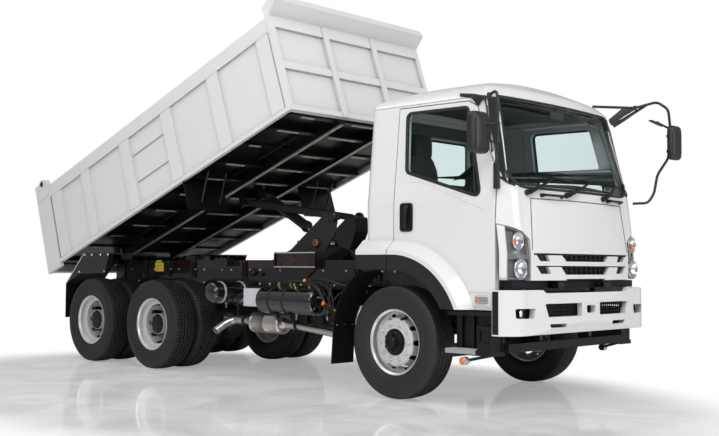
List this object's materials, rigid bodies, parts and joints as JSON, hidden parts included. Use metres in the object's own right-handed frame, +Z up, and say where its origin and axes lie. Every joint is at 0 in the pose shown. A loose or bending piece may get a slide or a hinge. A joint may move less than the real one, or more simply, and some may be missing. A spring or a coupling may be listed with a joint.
{
  "type": "three-axle tipper truck",
  "caption": "Cab-over tipper truck with a raised rear-tipping steel bed, twin rear wheels, opening doors, tilting cab and steered front wheels.",
  "frame": {"origin": "on the ground under the middle of the overall length and width", "axes": "+X forward, +Y to the truck's left, +Z up"},
  "size_m": [8.0529, 2.73, 4.0092],
  "materials": {
    "frame_black": "gloss black paint",
    "cab_white": "gloss white paint",
    "bed_white": "satin off-white paint",
    "bed_under": "satin black paint",
    "hoist_grey": "satin dark grey paint",
    "piston": "polished chrome",
    "wheel_steel": "silver paint",
    "tyre": "black rubber",
    "glass": "lightly tinted",
    "arch_grey": "dark grey textured",
    "trim_black": "black",
    "lamp": "clear lens over reflector",
    "seat": "dark grey cloth",
    "cast": "black painted casting",
    "stainless": "stainless, slightly heat tinted",
    "tank_black": "gloss black",
    "aluminium": "plain",
    "guard": "black"
  },
  "bodies": {
    "chassis": {"chassis_frame": "frame_black", "subframe": "frame_black", "powertrain": "cast", "axles": "cast", "suspension": "cast", "cab_steps": "trim_black", "step_treads": "aluminium", "front_bumper": "cab_white", "mudguards_front": "guard", "mudguards_rear": "frame_black", "air_tanks": "tank_black", "exhaust": "stainless", "fuel_tank": "tank_black", "battery_box": "trim_black", "side_box": "aluminium", "air_intake": "trim_black"},
    "bed": {"bed_floor": "bed_under", "bed_sides": "bed_white", "bed_headboard": "bed_white"},
    "tailgate": {"tailgate": "bed_white"},
    "hoist_arm": {"hoist_arm": "hoist_grey"},
    "hoist_link": {"hoist_link": "hoist_grey"},
    "hoist_cylinder": {"hoist_cylinder": "hoist_grey"},
    "hoist_rod": {"hoist_rod": "piston"},
    "cab": {"cab_sides": "cab_white", "cab_arches": "arch_grey", "cab_back": "cab_white", "cab_roof": "cab_white", "cab_front": "cab_white", "grille": "trim_black", "headlamps": "lamp", "cab_glass": "glass", "cab_floor": "trim_black", "dashboard": "trim_black", "seats": "seat", "mirrors": "trim_black"},
    "track_rod": {"track_rod": "cast"},
    "door_right": {"door_right": "cab_white", "door_glass_right": "glass", "door_arch_right": "arch_grey"},
    "knuckle_right": {"knuckle_right": "cast"},
    "front_wheel_right": {"wheel_front_right": "wheel_steel", "tyre_front_right": "tyre"},
    "second_wheels_right": {"wheel_second_right": "wheel_steel", "tyres_second_right": "tyre"},
    "third_wheels_right": {"wheel_third_right": "wheel_steel", "tyres_third_right": "tyre"},
    "door_left": {"door_left": "cab_white", "door_glass_left": "glass", "door_arch_left": "arch_grey"},
    "knuckle_left": {"knuckle_left": "cast"},
    "front_wheel_left": {"wheel_front_left": "wheel_steel", "tyre_front_left": "tyre"},
    "second_wheels_left": {"wheel_second_left": "wheel_steel", "tyres_second_left": "tyre"},
    "third_wheels_left": {"wheel_third_left": "wheel_steel", "tyres_third_left": "tyre"}
  },
  "joints": [
    {"name": "bed_tilt", "type": "hinge", "parent": "chassis", "child": "bed", "pos_m": [-3.0555, 0, 1.235], "axis": [0, -1, 0], "range_deg": [-19.3, 30.7]},
    {"name": "tailgate_swing", "type": "hinge", "parent": "bed", "child": "tailgate", "pos_m": [-3.85159, 0, 2.26475], "axis": [0, 1, 0], "range_deg": [0, 75]},
    {"name": "hoist_arm_swing", "type": "hinge", "parent": "chassis", "child": "hoist_arm", "pos_m": [-0.6205, 0, 1.087], "axis": [0, -1, 0], "range_deg": [-24.68, 39.24]},
    {"name": "hoist_link_swing", "type": "hinge", "parent": "bed", "child": "hoist_link", "pos_m": [-0.8965, 0, 1.964], "axis": [0, -1, 0], "range_deg": [-40.23, 25.29]},
    {"name": "hoist_cylinder_swing", "type": "hinge", "parent": "bed", "child": "hoist_cylinder", "pos_m": [-0.6315, 0, 2.036], "axis": [0, -1, 0], "range_deg": [-45.05, 28.32]},
    {"name": "hoist_rod_slide", "type": "slide", "parent": "hoist_cylinder", "child": "hoist_rod", "axis": [0.8827, 0, -0.47], "range_m": [-0.2688, 0.427]},
    {"name": "cab_tilt", "type": "hinge", "parent": "chassis", "child": "cab", "pos_m": [3.7265, 0, 1.045], "axis": [0, 1, 0], "range_deg": [0, 45]},
    {"name": "door_right_swing", "type": "hinge", "parent": "cab", "child": "door_right", "pos_m": [3.5565, -1.19, 1.5], "axis": [0, 0, 1], "range_deg": [0, 65]},
    {"name": "door_left_swing", "type": "hinge", "parent": "cab", "child": "door_left", "pos_m": [3.5565, 1.19, 1.5], "axis": [0, 0, -1], "range_deg": [0, 65]},
    {"name": "steer_right", "type": "hinge", "parent": "chassis", "child": "knuckle_right", "pos_m": [2.4765, -0.88, 0.515], "axis": [0, 0, 1], "range_deg": [-35, 35]},
    {"name": "steer_left", "type": "hinge", "parent": "chassis", "child": "knuckle_left", "pos_m": [2.4765, 0.88, 0.515], "axis": [0, 0, 1], "range_deg": [-35, 35]},
    {"name": "track_rod_shift", "type": "slide", "parent": "chassis", "child": "track_rod", "axis": [0, 1, 0], "range_m": [-0.13, 0.13]},
    {"name": "spin_front_right", "type": "hinge", "parent": "knuckle_right", "child": "front_wheel_right", "pos_m": [2.4765, -1.03, 0.515], "axis": [0, 1, 0], "continuous": true},
    {"name": "spin_second_right", "type": "hinge", "parent": "chassis", "child": "second_wheels_right", "pos_m": [-1.2835, -0.88, 0.515], "axis": [0, 1, 0], "continuous": true},
    {"name": "spin_third_right", "type": "hinge", "parent": "chassis", "child": "third_wheels_right", "pos_m": [-2.5835, -0.88, 0.515], "axis": [0, 1, 0], "continuous": true},
    {"name": "spin_front_left", "type": "hinge", "parent": "knuckle_left", "child": "front_wheel_left", "pos_m": [2.4765, 1.03, 0.515], "axis": [0, 1, 0], "continuous": true},
    {"name": "spin_second_left", "type": "hinge", "parent": "chassis", "child": "second_wheels_left", "pos_m": [-1.2835, 0.88, 0.515], "axis": [0, 1, 0], "continuous": true},
    {"name": "spin_third_left", "type": "hinge", "parent": "chassis", "child": "third_wheels_left", "pos_m": [-2.5835, 0.88, 0.515], "axis": [0, 1, 0], "continuous": true}
  ],
  "couplings": [
    {"joint": "hoist_arm_swing", "follows": "bed_tilt", "ratio": 1.278},
    {"joint": "hoist_link_swing", "follows": "bed_tilt", "ratio": -1.31},
    {"joint": "hoist_cylinder_swing", "follows": "bed_tilt", "ratio": -1.467},
    {"joint": "hoist_rod_slide", "follows": "bed_tilt", "m_per_rad": 0.795},
    {"joint": "steer_left", "follows": "steer_right", "ratio": 1},
    {"joint": "track_rod_shift", "follows": "steer_right", "m_per_rad": -0.205}
  ]
}
